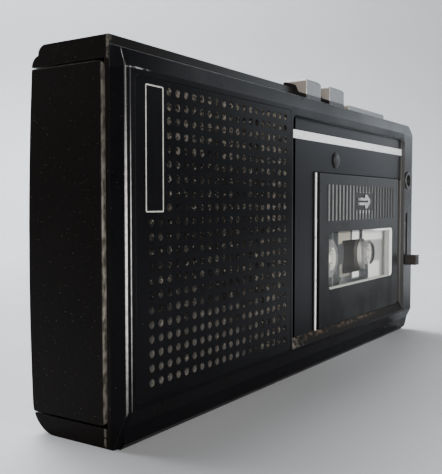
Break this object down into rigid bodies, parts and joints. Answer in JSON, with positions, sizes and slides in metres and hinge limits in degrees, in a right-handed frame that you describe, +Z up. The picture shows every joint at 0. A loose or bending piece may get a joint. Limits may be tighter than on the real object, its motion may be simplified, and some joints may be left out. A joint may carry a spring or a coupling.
{
  "type": "microcassette recorder",
  "caption": "Pocket microcassette recorder standing on its long side, with perforated speaker, hinged cassette lid with window, push keys, slide control, battery cover and tape drive.",
  "frame": {"origin": "middle of the long narrow face that the recorder stands on", "axes": "+X along the length from the loudspeaker to the jack end, +Y from the front face to the back, +Z up to the keys"},
  "size_m": [0.1384, 0.0265, 0.0698],
  "materials": {
    "black_shell": "satin gloss black",
    "rear_black": "fine satin black",
    "cover_black": "fine satin black",
    "bright_trim": "satin metal foil",
    "key_silver": "silver-coated moulded plastic",
    "dust_cloth": "thin dusty cloth",
    "cone_paper": "black paper",
    "sheet_steel": "plated sheet steel",
    "magnet_iron": "ferrite and iron",
    "cell_can": "plain wrapped can",
    "contact_brass": "plated brass",
    "spring_steel": "bright spring steel",
    "board_resin": "resin-bonded paper board",
    "board_black": "moulded component cases",
    "jack_chrome": "nickel plated",
    "capsule_alu": "drawn can",
    "lamp_red": "dark red lens, unlit",
    "knob_black": "ribbed moulded plastic",
    "lid_black": "charcoal satin",
    "print_grey": "light grey",
    "clear_window": "clear acrylic",
    "tray_black": "moulded tray",
    "cassette_shell": "off-white styrene",
    "reel_white": "white acetal",
    "tape_brown": "edge of wound tape",
    "belt_rubber": "black rubber",
    "head_dark": "dark head case"
  },
  "bodies": {
    "case": {"front_shell": "black_shell", "rear_shell": "rear_black", "speaker_grille": "black_shell", "trim_stripe": "bright_trim", "speaker_cloth": "dust_cloth", "speaker_frame": "sheet_steel", "speaker_cone": "cone_paper", "speaker_magnet": "magnet_iron", "battery_cell_1": "cell_can", "battery_cell_2": "cell_can", "battery_contacts": "contact_brass", "battery_springs": "spring_steel", "circuit_board": "board_resin", "board_parts": "board_black", "jack_socket": "jack_chrome", "microphone": "capsule_alu", "record_lamp": "lamp_red", "volume_track": "sheet_steel", "key_bracket": "sheet_steel", "stop_spring": "spring_steel", "play_spring": "spring_steel", "bar_springs": "spring_steel", "cassette_tray": "tray_black", "chassis_plate": "sheet_steel", "chassis_screws": "spring_steel", "bearing_bushes": "contact_brass", "cassette_front": "cassette_shell", "cassette_back": "cassette_shell", "drive_belt": "belt_rubber", "motor": "sheet_steel", "case_screws": "spring_steel"},
    "battery_cover": {"battery_cover": "cover_black"},
    "lid_runner": {"hinge_pin": "spring_steel"},
    "lid": {"cassette_lid": "lid_black", "lid_ribs": "print_grey", "lid_window": "clear_window", "cassette_spring": "spring_steel"},
    "stop_key": {"stop_key": "key_silver"},
    "play_key": {"play_key": "key_silver"},
    "record_bar": {"record_bar": "key_silver"},
    "head_slide": {"head_plate": "sheet_steel", "record_head": "jack_chrome", "erase_head": "head_dark"},
    "pinch_roller": {"pinch_roller": "belt_rubber"},
    "volume_knob": {"volume_knob": "knob_black"},
    "motor_rotor": {"motor_pulley": "contact_brass"},
    "flywheel": {"flywheel": "contact_brass", "capstan": "jack_chrome"},
    "idler": {"idler_gear": "reel_white"},
    "takeup": {"takeup_reel": "reel_white", "takeup_tape": "tape_brown", "takeup_spindle": "reel_white", "takeup_gear": "reel_white"},
    "supply": {"supply_reel": "reel_white", "supply_tape": "tape_brown", "supply_spindle": "reel_white", "supply_gear": "reel_white"}
  },
  "joints": [
    {"name": "lid_slide", "type": "slide", "parent": "case", "child": "lid_runner", "axis": [1, 0, 0], "range_m": [0, 0.0012]},
    {"name": "lid_hinge", "type": "hinge", "parent": "lid_runner", "child": "lid", "pos_m": [0.057, -0.0078, 0.0288], "axis": [0, 0, 1], "range_deg": [0, 90]},
    {"name": "stop_press", "type": "slide", "parent": "case", "child": "stop_key", "axis": [0, 0, -1], "range_m": [0, 0.002], "stiffness_N_per_m": 300, "springref_m": -0.001, "deforming": ["stop_spring"]},
    {"name": "play_press", "type": "slide", "parent": "case", "child": "play_key", "axis": [0, 0, -1], "range_m": [0, 0.002], "stiffness_N_per_m": 300, "springref_m": -0.001, "deforming": ["play_spring"]},
    {"name": "record_press", "type": "slide", "parent": "case", "child": "record_bar", "axis": [0, 0, -1], "range_m": [0, 0.002], "stiffness_N_per_m": 300, "springref_m": -0.001, "deforming": ["bar_springs"]},
    {"name": "head_travel", "type": "slide", "parent": "case", "child": "head_slide", "axis": [0, 0, -1], "range_m": [0, 0.002]},
    {"name": "pinch_spin", "type": "hinge", "parent": "head_slide", "child": "pinch_roller", "pos_m": [0.0428, -0.00435, 0.0477], "axis": [0, 1, 0], "continuous": true},
    {"name": "volume_slide", "type": "slide", "parent": "case", "child": "volume_knob", "axis": [0, 0, 1], "range_m": [0, 0.013]},
    {"name": "cover_slide", "type": "slide", "parent": "case", "child": "battery_cover", "axis": [-1, 0, 0], "range_m": [0, 0.045]},
    {"name": "motor_spin", "type": "hinge", "parent": "case", "child": "motor_rotor", "pos_m": [0.05405, 0.0059, 0.057], "axis": [0, 1, 0], "continuous": true},
    {"name": "flywheel_spin", "type": "hinge", "parent": "case", "child": "flywheel", "pos_m": [0.0428, 0.0059, 0.0415], "axis": [0, 1, 0], "continuous": true},
    {"name": "idler_spin", "type": "hinge", "parent": "case", "child": "idler", "pos_m": [0.04515, 0.0029, 0.03653], "axis": [0, 1, 0], "continuous": true},
    {"name": "takeup_spin", "type": "hinge", "parent": "case", "child": "takeup", "pos_m": [0.04195, 0.0029, 0.026], "axis": [0, 1, 0], "continuous": true},
    {"name": "supply_spin", "type": "hinge", "parent": "case", "child": "supply", "pos_m": [0.01645, 0.0029, 0.026], "axis": [0, 1, 0], "continuous": true}
  ],
  "couplings": [
    {"joint": "head_travel", "follows": "play_press", "ratio": 1},
    {"joint": "motor_spin", "follows": "flywheel_spin", "ratio": 4.4694},
    {"joint": "idler_spin", "follows": "flywheel_spin", "ratio": -0.83333},
    {"joint": "takeup_spin", "follows": "flywheel_spin", "ratio": 0.3125},
    {"joint": "supply_spin", "follows": "flywheel_spin", "ratio": 0.21307}
  ]
}
